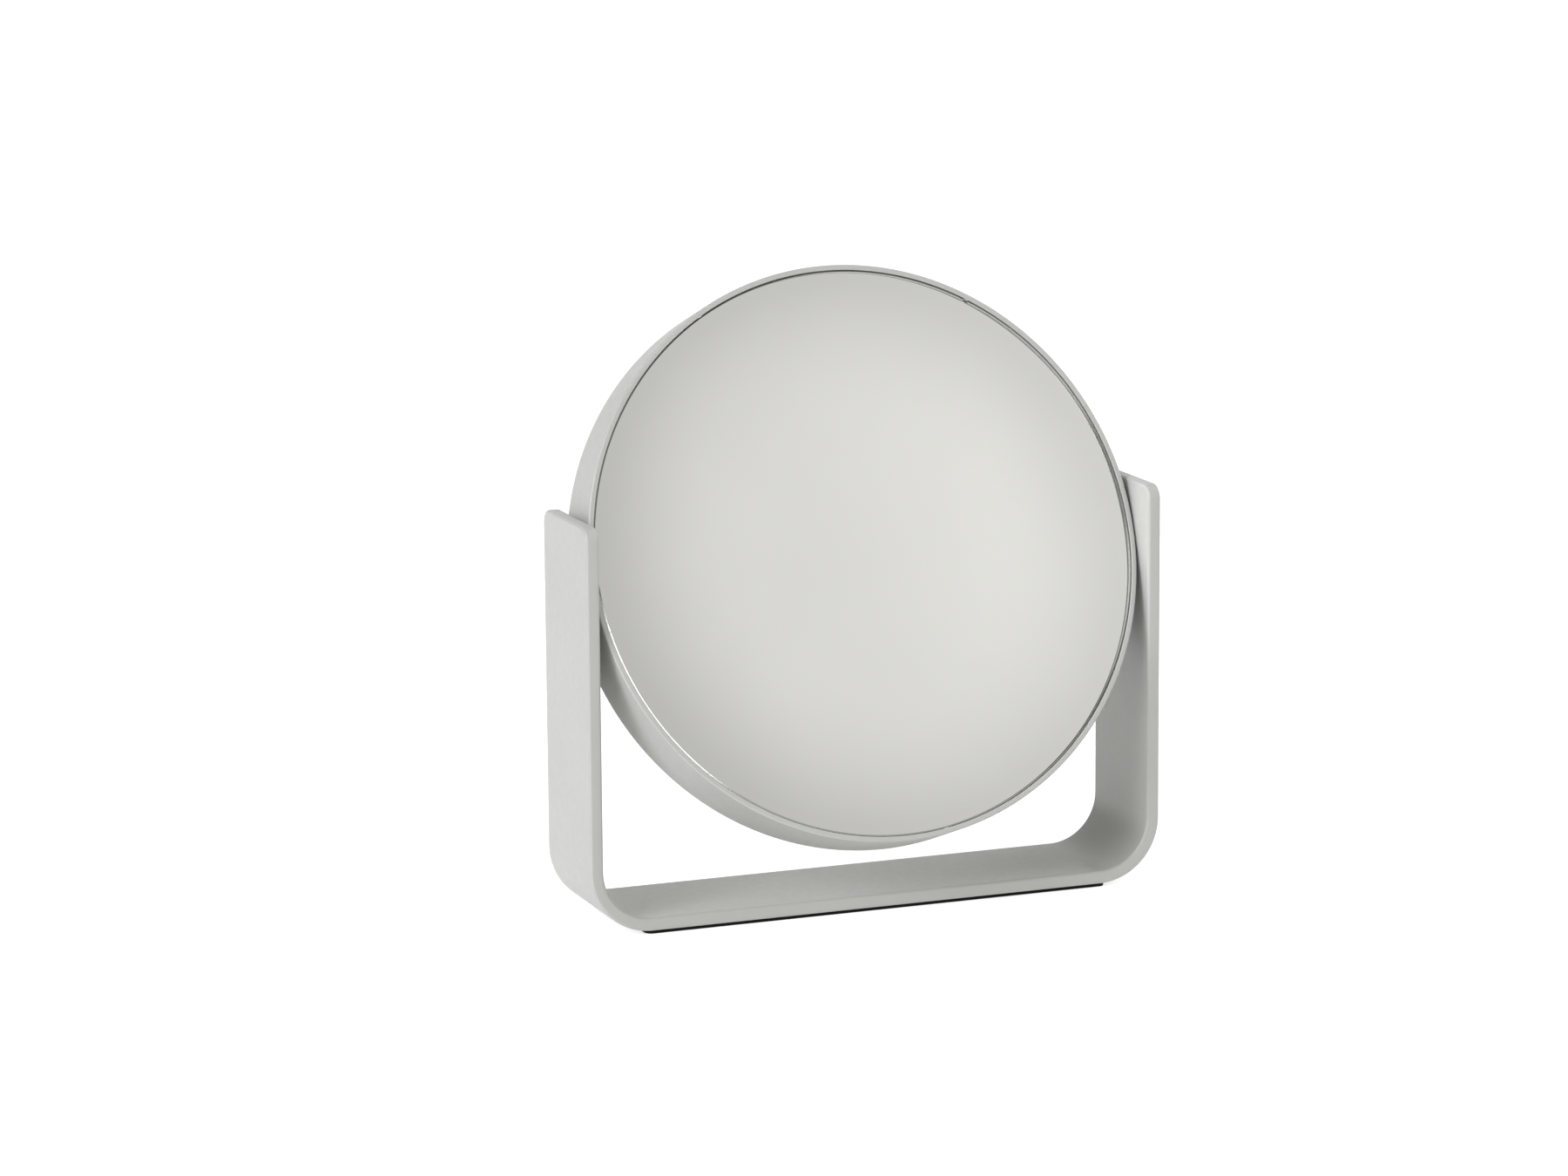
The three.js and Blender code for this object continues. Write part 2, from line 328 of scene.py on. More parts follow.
def drum_box(node):
    """Lowest and highest corners of a CAD node, in the drum's own frame."""
    inward = drum_matrix().inverted()
    corners = [inward @ vert.co for vert in frame["nodes"][node].data.vertices]
    low = Vector(min(c[i] for c in corners) for i in range(3))
    high = Vector(max(c[i] for c in corners) for i in range(3))
    return low, high


def direction(azimuth, elevation):
    """The way that lies so many degrees right of the front and above the horizon."""
    turn, rise = math.radians(azimuth), math.radians(elevation)
    return Vector((
        math.sin(turn) * math.cos(rise), -math.cos(turn) * math.cos(rise), math.sin(rise),
    ))


# ---- mesh helpers -------------------------------------------------------------


def outline(bm, points, closed=True):
    """A chain of edges through (x, y, z) points, as geometry to spin or extrude."""
    verts = [bm.verts.new(point) for point in points]
    pairs = list(zip(verts, verts[1:]))
    if closed:
        pairs.append((verts[-1], verts[0]))
    return verts + [bm.edges.new(pair) for pair in pairs]


def spin_round(bm, geom, steps, axis=(0, 1, 0)):
    """A full turn about an axis through the origin, welded where it closes."""
    bmesh.ops.spin(
        bm, geom=geom, cent=(0, 0, 0), axis=axis, dvec=(0, 0, 0),
        angle=math.tau, steps=steps, use_merge=True, use_duplicate=False,
    )
    tidy(bm)


def tidy(bm):
    bmesh.ops.remove_doubles(bm, verts=bm.verts, dist=WELD)
    bmesh.ops.recalc_face_normals(bm, faces=bm.faces)


def sharp_edges(bm, wanted=lambda edge: True):
    return [
        edge for edge in bm.edges
        if edge.is_manifold and edge.calc_face_angle(0) > SHARP_ANGLE and wanted(edge)
    ]


def round_edges(bm, edges, radius, segments):
    bmesh.ops.bevel(
        bm, geom=edges, offset=radius, offset_type="OFFSET", affect="EDGES",
        segments=segments, profile=0.5, material=-1, clamp_overlap=True,
    )


def middle(edge):
    return (edge.verts[0].co + edge.verts[1].co) / 2


def radius_of(point):
    """Distance from the drum's axis."""
    return math.hypot(point.x, point.z)


def carve(shape, tool):
    """Cuts one bmesh out of another and returns what is left."""
    solids = []
    for part in (shape, tool):
        mesh = bpy.data.meshes.new("carving")
        part.to_mesh(mesh)
        part.free()
        solid = bpy.data.objects.new("carving", mesh)
        bpy.context.scene.collection.objects.link(solid)
        solids.append(solid)
    cut = solids[0].modifiers.new("Cut", "BOOLEAN")
    cut.operation, cut.solver, cut.object = "DIFFERENCE", "EXACT", solids[1]
    evaluated = solids[0].evaluated_get(bpy.context.evaluated_depsgraph_get())
    result = bpy.data.meshes.new_from_object(evaluated)
    carved = bmesh.new()
    carved.from_mesh(result)
    for mesh in [result] + [solid.data for solid in solids]:
        bpy.data.meshes.remove(mesh)
    return carved


def rods_across(radius, start, end, height=0.0, segments=48):
    """Two rods on one axis along X, one on each side, as a cutting tool."""
    bm = bmesh.new()
    for _, side in SIDES:
        place = Matrix.Translation((side * (start + end) / 2, 0, height))
        bmesh.ops.create_cone(
            bm, cap_ends=True, segments=segments, radius1=radius, radius2=radius,
            depth=end - start, matrix=place @ Matrix.Rotation(math.pi / 2, 4, "Y"),
        )
    return bm


def make_piece(name, bm, body, materials, stands_for, matrix=None):
    """Makes the bmesh an object in its place, riding on a body in place of CAD nodes."""
    if matrix:
        bmesh.ops.transform(bm, matrix=matrix, verts=bm.verts)
    tidy(bm)
    for face in bm.faces:
        face.smooth = True
    for edge in bm.edges:
        edge.smooth = edge.calc_face_angle(0) < SHARP_ANGLE
    mesh = bpy.data.meshes.new(name)
    bm.to_mesh(mesh)
    bm.free()
    for material in materials:
        mesh.materials.append(material)
    piece = bpy.data.objects.new(name, mesh)
    bpy.context.scene.collection.objects.link(piece)
    normals = piece.modifiers.new("Even normals", "WEIGHTED_NORMAL")
    normals.keep_sharp = True
    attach(piece, body)
    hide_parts(*stands_for)
    return piece


# ---- materials ----------------------------------------------------------------


class Finish:
    """A material under construction: its shader, and short ways to add nodes."""

    def __init__(self, name):
        self.material = bpy.data.materials.new(name)
        self.material.use_nodes = True
        self.nodes = self.material.node_tree.nodes
        self.links = self.material.node_tree.links
        self.shader = self.nodes["Principled BSDF"]
        self.coordinates = self.nodes.new("ShaderNodeTexCoord")

    def noise(self, scale, detail=2.0, roughness=0.5, stretch=None):
        """A noise pattern on the piece's own coordinates; scale is in cells per metre."""
        texture = self.nodes.new("ShaderNodeTexNoise")
        texture.inputs["Scale"].default_value = scale
        texture.inputs["Detail"].default_value = detail
        texture.inputs["Roughness"].default_value = roughness
        source = self.coordinates.outputs["Object"]
        if stretch:
            mapping = self.nodes.new("ShaderNodeMapping")
            mapping.inputs["Scale"].default_value = stretch
            self.links.new(source, mapping.inputs["Vector"])
            source = mapping.outputs["Vector"]
        self.links.new(source, texture.inputs["Vector"])
        return texture.outputs["Fac"]

    def spread(self, value, low, high, start=0.3, end=0.7):
        """Maps a pattern's middle range to low...high."""
        node = self.nodes.new("ShaderNodeMapRange")
        node.inputs["From Min"].default_value = start
        node.inputs["From Max"].default_value = end
        node.inputs["To Min"].default_value = low
        node.inputs["To Max"].default_value = high
        self.links.new(value, node.inputs["Value"])
        return node.outputs["Result"]

    def blend(self, factor, colour_a, colour_b):
        node = self.nodes.new("ShaderNodeMix")
        node.data_type = "RGBA"
        node.inputs["A"].default_value = (*colour_a, 1)
        node.inputs["B"].default_value = (*colour_b, 1)
        self.links.new(factor, node.inputs["Factor"])
        return node.outputs["Result"]

    def bump(self, height, strength, distance, below=None):
        node = self.nodes.new("ShaderNodeBump")
        node.inputs["Strength"].default_value = strength
        node.inputs["Distance"].default_value = distance
        self.links.new(height, node.inputs["Height"])
        if below:
            self.links.new(below, node.inputs["Normal"])
        return node.outputs["Normal"]

    def set(self, **values):
        """Sets or links shader sockets, named with underscores for spaces."""
        for key, value in values.items():
            socket = self.shader.inputs[key.replace("_", " ")]
            if isinstance(value, bpy.types.NodeSocket):
                self.links.new(value, socket)
            else:
                socket.default_value = value
        return self.material


def shade(colour, factor):
    return tuple(min(1.0, channel * factor) for channel in colour)


def powder_coat():
    """Fine matte powder coat: slight orange peel over a finer grain."""
    f = Finish("powder_coat")
    tone = colours().coat
    cloud = f.noise(38, detail=3)
    peel = f.bump(f.noise(850, detail=2), 0.10, 0.06 * MM)
    grain = f.bump(f.noise(3600, detail=1), 0.08, 0.02 * MM, below=peel)
    return f.set(
        Base_Color=f.blend(f.spread(cloud, 0, 1), shade(tone, 0.985), shade(tone, 1.015)),
        Roughness=f.spread(f.noise(420, detail=2), 0.38, 0.46),
        Specular_IOR_Level=0.5,
        Normal=grain,
    )


def silvered_glass():
    """Polished, silvered float glass with the faintest haze."""
    f = Finish("silvered_glass")
    tone = colours().silver
    haze = f.noise(26, detail=4)
    return f.set(
        Base_Color=f.blend(f.spread(haze, 0, 1), shade(tone, 0.99), shade(tone, 1.01)),
        Metallic=1.0,
        Roughness=f.spread(f.noise(60, detail=5), 0.012, 0.03),
    )


def ground_edge():
    """The glass's ground edge: grey-green and frosted."""
    f = Finish("ground_glass_edge")
    return f.set(
        Base_Color=f.blend(f.noise(900), (0.36, 0.45, 0.42), (0.50, 0.58, 0.55)),
        Roughness=f.spread(f.noise(1500), 0.35, 0.55),
        Normal=f.bump(f.noise(2400, detail=3), 0.2, 0.03 * MM),
    )


def backing_paint():
    """Grey protective paint over the silvering."""
    f = Finish("backing_paint")
    return f.set(
        Base_Color=f.blend(f.noise(240, detail=4), (0.17, 0.18, 0.19), (0.22, 0.23, 0.24)),
        Roughness=f.spread(f.noise(500), 0.45, 0.65),
        Normal=f.bump(f.noise(900, detail=2), 0.15, 0.03 * MM),
    )


def polished_steel():
    """Bright spring steel, drawn along its length."""
    f = Finish("polished_spring_steel")
    tone = colours().ring_metal
    return f.set(
        Base_Color=f.blend(f.noise(300, detail=3), shade(tone, 0.95), shade(tone, 1.04)),
        Metallic=1.0,
        Roughness=f.spread(f.noise(1400, detail=2), 0.08, 0.18),
    )


def drawn_steel():
    """Bright inner wall of the rings, with fine drawing lines round it."""
    f = Finish("drawn_spring_steel")
    return f.set(
        Base_Color=f.blend(f.noise(500, detail=3), (0.30, 0.30, 0.297), (0.37, 0.37, 0.366)),
        Metallic=1.0,
        Roughness=f.spread(f.noise(1400, detail=2, stretch=(1, 6, 1)), 0.14, 0.26),
    )


def painted_gap_shade():
    """Painted shade for the rings' sides and foot: a dull, slightly mottled black that stands for the
    shade in the gaps beside each ring.
    """
    f = Finish("painted_gap_shade")
    return f.set(
        Base_Color=f.blend(f.noise(700, detail=3), (0.03, 0.03, 0.031), (0.055, 0.055, 0.055)),
        Roughness=f.spread(f.noise(1500), 0.6, 0.75),
        Specular_IOR_Level=0.3,
    )


def zinc_plate():
    """Bright zinc plating with a cloudy passivated bloom."""
    f = Finish("zinc_plate")
    return f.set(
        Base_Color=f.blend(f.noise(420, detail=4), (0.52, 0.54, 0.57), (0.66, 0.67, 0.66)),
        Metallic=1.0,
        Roughness=f.spread(f.noise(900, detail=3), 0.28, 0.44),
        Normal=f.bump(f.noise(2600, detail=2), 0.1, 0.02 * MM),
    )


def pad_rubber():
    """Black non-slip rubber with a fine leathery grain."""
    f = Finish("pad_rubber")
    tone = colours().rubber
    return f.set(
        Base_Color=f.blend(f.noise(300, detail=3), shade(tone, 0.8), shade(tone, 1.4)),
        Roughness=f.spread(f.noise(700), 0.72, 0.88),
        Specular_IOR_Level=0.12,
        Normal=f.bump(f.noise(1800, detail=3), 0.35, 0.08 * MM),
    )


def adhesive_film():
    """Thin, slightly yellow double-sided film."""
    f = Finish("adhesive_film")
    return f.set(
        Base_Color=f.blend(f.noise(500, detail=2), (0.42, 0.40, 0.34), (0.52, 0.50, 0.43)),
        Roughness=f.spread(f.noise(800), 0.35, 0.5),
    )


def moulded_black():
    """Moulded black plastic with a satin spark-eroded grain."""
    f = Finish("moulded_black")
    return f.set(
        Base_Color=f.blend(f.noise(350, detail=3), (0.016, 0.016, 0.018), (0.026, 0.026, 0.028)),
        Roughness=f.spread(f.noise(900), 0.48, 0.62),
        Normal=f.bump(f.noise(2200, detail=2), 0.2, 0.04 * MM),
    )


def foam_tape():
    """Closed-cell foam: small open pores on a dark body."""
    f = Finish("foam_tape")
    cells = f.nodes.new("ShaderNodeTexVoronoi")
    cells.inputs["Scale"].default_value = 2600
    f.links.new(f.coordinates.outputs["Object"], cells.inputs["Vector"])
    return f.set(
        Base_Color=f.blend(cells.outputs["Distance"], (0.02, 0.02, 0.021), (0.06, 0.06, 0.062)),
        Roughness=f.spread(f.noise(1200), 0.85, 0.98),
        Normal=f.bump(cells.outputs["Distance"], 0.5, 0.15 * MM),
    )


def white_acetal():
    """Natural acetal: milky and slightly waxy."""
    f = Finish("white_acetal")
    return f.set(
        Base_Color=f.blend(f.noise(260, detail=2), (0.72, 0.71, 0.66), (0.80, 0.79, 0.75)),
        Roughness=f.spread(f.noise(800), 0.32, 0.44),
        Subsurface_Weight=0.15,
        Subsurface_Scale=0.001,
    )


# ---- pieces -------------------------------------------------------------------


class MIRROR_OT_stand(bpy.types.Operator):
    """Bends the flat strip into the U stand."""

    bl_idname = "mirror.stand"
    bl_label = "Bent Strip Stand"

    def execute(self, context):
        size = sizes()
        low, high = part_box("stand_frame")
        bend, thick = size.bend_radius, size.strip_thickness
        bm = bmesh.new()
        section = [
            (low.x, low.y, high.z), (low.x + thick, low.y, high.z),
            (low.x + thick, high.y, high.z), (low.x, high.y, high.z),
        ]
        ring = outline(bm, section)
        first = [item for item in ring if isinstance(item, bmesh.types.BMEdge)]
        drop = Vector((0, 0, low.z + bend - high.z))
        across = Vector((high.x - low.x - 2 * bend, 0, 0))
        left_centre = (low.x + bend, 0, low.z + bend)
        right_centre = (high.x - bend, 0, low.z + bend)
        last = self.run(bm, first, drop)
        last = self.turn(bm, last, left_centre)
        last = self.run(bm, last, across)
        last = self.turn(bm, last, right_centre)
        last = self.run(bm, last, -drop)
        bmesh.ops.contextual_create(bm, geom=first)
        bmesh.ops.contextual_create(bm, geom=last)
        tidy(bm)
        self.round_ends(bm, high.z)
        round_edges(bm, sharp_edges(bm), size.strip_edge_radius, 4)
        tidy(bm)
        inner = high.x - thick
        bm = carve(bm, rods_across(
            pivots().blind_hole_radius, inner - MM, inner + pivots().blind_hole_depth, PIVOT.z,
        ))
        make_piece(
            "bent_strip", bm, STAND_BODY, [powder_coat()], ["stand_frame"],
        )
        return {"FINISHED"}

    def run(self, bm, edges, way):
        """Extrudes the strip's section straight."""
        made = bmesh.ops.extrude_edge_only(bm, edges=edges)["geom"]
        verts = [item for item in made if isinstance(item, bmesh.types.BMVert)]
        bmesh.ops.translate(bm, vec=way, verts=verts)
        return self.end_loop(made)

    def turn(self, bm, edges, centre):
        """Takes the strip's section round a quarter bend."""
        made = bmesh.ops.spin(
            bm, geom=edges, cent=centre, axis=(0, -1, 0), dvec=(0, 0, 0),
            angle=math.pi / 2, steps=28, use_duplicate=False,
        )["geom_last"]
        return self.end_loop(made)

    def end_loop(self, geom):
        """The section's four edges at the end that was just made."""
        return [
            item for item in geom
            if isinstance(item, bmesh.types.BMEdge) and len(item.link_faces) == 1
        ]

    def round_ends(self, bm, top):
        """Rounds the two corners at the top of each upright."""
        corners = [
            edge for edge in bm.edges
            if all(abs(vert.co.z - top) < NEAR for vert in edge.verts)
            and abs(edge.verts[0].co.y - edge.verts[1].co.y) < NEAR
        ]
        round_edges(bm, corners, sizes().end_corner_radius, 14)


def sheet_between(node, corner_radius, edge_radius):
    """A flat rounded sheet that fills a CAD node's box."""
    low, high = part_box(node)
    bm = bmesh.new()
    place = Matrix.Translation((low + high) / 2) @ Matrix.Diagonal((*(high - low), 1))
    bmesh.ops.create_cube(bm, size=1, matrix=place)
    upright = [edge for edge in bm.edges if abs(edge.verts[0].co.z - edge.verts[1].co.z) > NEAR]
    round_edges(bm, upright, corner_radius, 12)
    if edge_radius:
        tidy(bm)
        round_edges(bm, sharp_edges(bm), edge_radius, 3)
    return bm


class MIRROR_OT_pad(bpy.types.Operator):
    """Lays the non-slip pad and its adhesive film under the base bar."""

    bl_idname = "mirror.pad"
    bl_label = "Non-slip Pad"

    def execute(self, context):
        corner = sizes().pad_corner_radius
        pad = sheet_between("base_pad", corner, sizes().pad_edge_radius)
        make_piece("non_slip_pad", pad, STAND_BODY, [pad_rubber()], ["base_pad"])
        film = sheet_between("pad_adhesive", corner, 0)
        make_piece("pad_film", film, STAND_BODY, [adhesive_film()], ["pad_adhesive"])
        return {"FINISHED"}


class MIRROR_OT_band(bpy.types.Operator):
    """Turns the drum's round band."""

    bl_idname = "mirror.band"
    bl_label = "Drum Band"

    def execute(self, context):
        size = sizes()
        low, high = drum_box("mirror_rim")
        inner = high.x - size.band_wall
        bm = bmesh.new()
        profile = outline(bm, [
            (inner, low.y, 0), (high.x, low.y, 0), (high.x, high.y, 0), (inner, high.y, 0),
        ])
        spin_round(bm, profile, size.turn_steps)
        half_way = (inner + high.x) / 2
        outer_edges = sharp_edges(bm, lambda edge: radius_of(middle(edge)) > half_way)
        round_edges(bm, outer_edges, size.band_outer_radius, 5)
        tidy(bm)
        inner_edges = sharp_edges(bm, lambda edge: radius_of(middle(edge)) < half_way)
        round_edges(bm, inner_edges, size.band_inner_radius, 4)
        tidy(bm)
        bm = carve(bm, rods_across(pivots().bush_hole_radius, inner - MM, high.x + MM))
        make_piece(
            "drum_band", bm, DRUM_BODY, [powder_coat()], ["mirror_rim"],
            matrix=drum_matrix(),
        )
        return {"FINISHED"}


class MIRROR_OT_rings(bpy.types.Operator):
    """Bends the two split rings that hold the glasses in."""

    bl_idname = "mirror.rings"
    bl_label = "Split Retaining Rings"

    def execute(self, context):
        # The middle finish is the black that paints the shade in the gaps beside each ring.
        finishes = [polished_steel(), painted_gap_shade(), drawn_steel()]
        for name, node in (
            ("split_ring_front", "retaining_ring_front"),
            ("split_ring_rear", "retaining_ring_rear"),
        ):
            low, high = drum_box(node)
            self.bend_ring(name, node, low, high, finishes)
        return {"FINISHED"}

    def bend_ring(self, name, node, low, high, finishes):
        size = sizes()
        seat, crest = (high.y, low.y) if low.y < 0 else (low.y, high.y)
        toward = math.copysign(1, crest)
        fall = toward * math.tan(size.ring_slope) * size.ring_width
        foot = size.ring_foot
        inner, outer = high.x - size.ring_width, high.x
        opening = size.ring_opening / outer
        start = size.ring_opening_angle + opening / 2
        bm = bmesh.new()
        ring = outline(bm, [
            (inner + foot, seat, 0), (inner, seat + toward * foot, 0), (inner, crest, 0),
            (outer, crest - fall, 0), (outer, seat, 0),
        ])
        edges = [item for item in ring if isinstance(item, bmesh.types.BMEdge)]
        bmesh.ops.rotate(bm, matrix=Matrix.Rotation(-start, 3, "Y"), verts=bm.verts)
        last = bmesh.ops.spin(
            bm, geom=edges, cent=(0, 0, 0), axis=(0, -1, 0), dvec=(0, 0, 0),
            angle=math.tau - opening, steps=size.turn_steps, use_duplicate=False,
        )["geom_last"]
        ends = [item for item in last if isinstance(item, bmesh.types.BMEdge)]
        bmesh.ops.contextual_create(bm, geom=edges)
        bmesh.ops.contextual_create(bm, geom=ends)
        tidy(bm)
        front = sharp_edges(bm, lambda edge: abs(middle(edge).y) > abs(crest - fall) - WELD)
        round_edges(bm, front, size.ring_edge_radius, 2)
        tidy(bm)
        # All faces except the polished front and the inner wall, including the foot and the outer
        # side, take the black that paints the shade of the gaps round the ring.
        for face in bm.faces:
            front_facing = face.normal.y * toward > 0.3
            inner_wall = not front_facing and radius_of(face.calc_center_median()) < inner + WELD
            face.material_index = POLISHED if front_facing else DRAWN if inner_wall else GAP_SHADE
        make_piece(
            name, bm, DRUM_BODY, finishes, [node], matrix=drum_matrix(),
        )


class MIRROR_OT_glasses(bpy.types.Operator):
    """Makes the dished magnifying glass and the plain glass."""

    bl_idname = "mirror.glasses"
    bl_label = "Mirror Glasses"

    def execute(self, context):
        finishes = [silvered_glass(), ground_edge(), backing_paint()]
        self.dished(finishes)
        self.plain(finishes)
        return {"FINISHED"}

    def dished(self, finishes):
        size = sizes()
        low, high = drum_box("magnifying_glass")
        radius, dish = high.x, size.dish_depth
        thick = high.y - low.y - dish
        sphere = (radius ** 2 + dish ** 2) / (2 * dish)
        bm = bmesh.new()
        front = self.arc(bm, low.y + dish, sphere, radius)
        back = self.arc(bm, low.y + dish + thick, sphere, radius)
        bm.edges.new((front, back))
        self.finish_glass("dished_glass", bm, -1, low.y, finishes, "magnifying_glass")

    def arc(self, bm, depth, sphere, radius):
        """Draws half of the dish's section from the axis and returns its outermost vertex."""
        start = bm.verts.new((0, depth, 0))
        last = bmesh.ops.spin(
            bm, geom=[start], cent=(0, depth - sphere, 0), axis=(0, 0, 1), dvec=(0, 0, 0),
            angle=-math.asin(radius / sphere), steps=24, use_duplicate=False,
        )["geom_last"]
        return next(item for item in last if isinstance(item, bmesh.types.BMVert))

    def plain(self, finishes):
        low, high = drum_box("plain_glass")
        bm = bmesh.new()
        outline(bm, [
            (0, low.y, 0), (high.x, low.y, 0), (high.x, high.y, 0), (0, high.y, 0),
        ], closed=False)
        self.finish_glass("flat_glass", bm, 1, high.y, finishes, "plain_glass")

    def finish_glass(self, name, bm, facing, face_depth, finishes, node):
        """Turns the section, grinds the visible edge and gives each face its finish."""
        spin_round(bm, bm.verts[:] + bm.edges[:], sizes().turn_steps)
        visible_rim = sharp_edges(bm, lambda edge: abs(middle(edge).y - face_depth) < 0.1 * MM)
        round_edges(bm, visible_rim, sizes().glass_bevel, 1)
        tidy(bm)
        for face in bm.faces:
            toward = face.normal.y * facing
            face.material_index = SILVERED if toward > 0.9 else PAINTED if toward < -0.9 else GROUND
        make_piece(
            name, bm, DRUM_BODY, finishes, [node], matrix=drum_matrix(),
        )


def turned(profile, side, steps=64):
    """Turns (x, radius) points about a pivot's axis; they are given for the right side."""
    bm = bmesh.new()
    chain = outline(bm, [(side * x, 0, radius) for x, radius in profile], closed=profile[0][1] > 0)
    spin_round(bm, chain, steps, axis=(1, 0, 0))
    round_edges(bm, sharp_edges(bm), pivots().edge_radius, 2)
    return bm


def reach(node, side):
    """A pivot part's ends along X, as on the right side, and its largest radius."""
    low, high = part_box(node)
    near, far = sorted((side * low.x, side * high.x))
    return near, far, (high.y - low.y) / 2


class MIRROR_OT_washers(bpy.types.Operator):
    """Turns the friction, thrust and plain washers and the coned springs."""

    bl_idname = "mirror.washers"
    bl_label = "Washers and Springs"

    def execute(self, context):
        acetal, zinc, steel = white_acetal(), zinc_plate(), polished_steel()
        for word, side in SIDES:
            self.flat_washer("friction_washer", word, side, STAND_BODY, "acetal", acetal)
            self.flat_washer("thrust_washer", word, side, DRUM_BODY, "acetal", acetal)
            self.flat_washer("plain_washer", word, side, STAND_BODY, "zinc_steel", zinc)
            self.coned_spring(word, side, steel)
        return {"FINISHED"}

    def flat_washer(self, kind, word, side, body, slot, material):
        node = f"{kind}_{word}"
        near, far, radius = reach(node, side)
        bore = pivots().bore_radius
        bm = turned([(near, bore), (far, bore), (far, radius), (near, radius)], side)
        self.place(f"turned_{node}", bm, body, slot, material, node)

    def coned_spring(self, word, side, steel):
        node = f"disc_spring_{word}"
        near, far, radius = reach(node, side)
        bore, sheet = pivots().bore_radius, pivots().spring_thickness
        bm = turned([
            (near, bore), (near + sheet, bore), (far, radius), (far - sheet, radius),
        ], side)
        self.place(f"coned_{node}", bm, STAND_BODY, "spring_steel", steel, node)

    def place(self, name, bm, body, slot, material, node):
        make_piece(
            name, bm, body, [material], [node], matrix=Matrix.Translation(PIVOT),
        )


class MIRROR_OT_bushes(bpy.types.Operator):
    """Turns the flanged bushes that line the drum's pivot blocks."""

    bl_idname = "mirror.bushes"
    bl_label = "Flanged Bushes"

    def execute(self, context):
        acetal, size = white_acetal(), pivots()
        for word, side in SIDES:
            node = f"pivot_bush_{word}"
            near, far, radius = reach(node, side)
            step = near + size.flange_thickness
            bm = turned([
                (near, size.bore_radius), (far, size.bore_radius), (far, size.bush_radius),
                (step, size.bush_radius), (step, radius), (near, radius),
            ], side)
            make_piece(
                f"flanged_bush_{word}", bm, DRUM_BODY, [acetal], [node],
                matrix=Matrix.Translation(PIVOT),
            )
        return {"FINISHED"}


class MIRROR_OT_screws(bpy.types.Operator):
    """Turns the shoulder screws, with their threads and hexagon sockets."""

    bl_idname = "mirror.screws"
    bl_label = "Shoulder Screws"

    def execute(self, context):
        zinc = zinc_plate()
        for word, side in SIDES:
            node = f"pivot_screw_{word}"
            near, far, radius = reach(node, side)
            bm = turned(self.profile(near, far, radius), side)
            bm = carve(bm, self.socket(near, side))
            make_piece(
                f"shoulder_screw_{word}", bm, STAND_BODY, [zinc], [node],
                matrix=Matrix.Translation(PIVOT),
            )
        return {"FINISHED"}

    def profile(self, near, far, radius):
        """Head, shoulder and threaded end, from the axis back to the axis."""
        size = pivots()
        under_head, thread_start = near + size.head_length, far - size.thread_length
        root, crest = size.thread_radius - size.thread_depth, size.thread_radius
        points = [
            (near, 0), (near, radius), (under_head, radius), (under_head, size.shoulder_radius),
            (thread_start, size.shoulder_radius), (thread_start, root),
        ]
        place = thread_start + size.thread_pitch / 2
        while place + size.thread_pitch / 2 < far:
            points += [(place, crest), (place + size.thread_pitch / 2, root)]
            place += size.thread_pitch
        return points + [(far, root), (far, 0)]

    def socket(self, near, side):
        size = pivots()
        bm = bmesh.new()
        corner = size.socket_width / 2 / math.cos(math.pi / 6)
        place = Matrix.Translation((side * near, 0, 0)) @ Matrix.Rotation(math.pi / 2, 4, "Y")
        bmesh.ops.create_cone(
            bm, cap_ends=True, segments=6, radius1=corner, radius2=corner,
            depth=2 * size.socket_depth, matrix=place,
        )
        return bm


class MIRROR_OT_inner_parts(bpy.types.Operator):
    """Finishes the spacers, foam rings and pivot blocks inside the drum."""

    bl_idname = "mirror.inner_parts"
    bl_label = "Inner Parts"

    def execute(self, context):
        plastic, foam, zinc = moulded_black(), foam_tape(), zinc_plate()
        finishes = {
            "spacer_upper": plastic, "spacer_lower": plastic,
            "foam_ring_front": foam, "foam_ring_rear": foam,
            "pivot_block_left": zinc, "pivot_block_right": zinc,
        }
        for node, material in finishes.items():
            materials = frame["nodes"][node].data.materials
            materials.clear()
            materials.append(material)
        return {"FINISHED"}


# ---- stage --------------------------------------------------------------------


# Each area: degrees right of the front and above the horizon, degrees of full and of no
# effect, what it adds, and its tint.
WHITE, COOL = (1.0, 1.0, 0.99), (1.01, 1.0, 1.10)
DOME_AREAS = (
    (-75, 12, 2, 16, 4.6, COOL),
    (-75, 28, 2, 16, 9.5, COOL),
    (-75, 44, 2, 16, 2.6, WHITE),
    (-60, 28, 2, 16, 8.0, WHITE),
    (-45, 44, 2, 16, 0.7, WHITE),
    (-45, 56, 3, 30, 0.22, WHITE),
    (0, 90, 3, 32, 1.05, WHITE),
    (90, 30, 3, 30, 3.6, WHITE),
    (90, 56, 3, 30, 0.54, WHITE),
    (120, 5, 3, 30, 1.4, WHITE),
    (150, 5, 3, 30, 0.34, WHITE),
    (150, 30, 3, 30, 0.70, WHITE),
    (180, 5, 3, 30, 0.82, WHITE),
    (180, 30, 3, 30, 0.19, WHITE),
    (-33.8, 12.1, 1, 60, 0.494, WHITE),
    (24, 25.7, 16, 30, 0.43, WHITE),
    (24.07, 25.88, 4.05, 10.45, 0.23, WHITE),
)
STRIP_TOP, STRIP_FOOT = (-21, 20), (-3.7, -4.5)


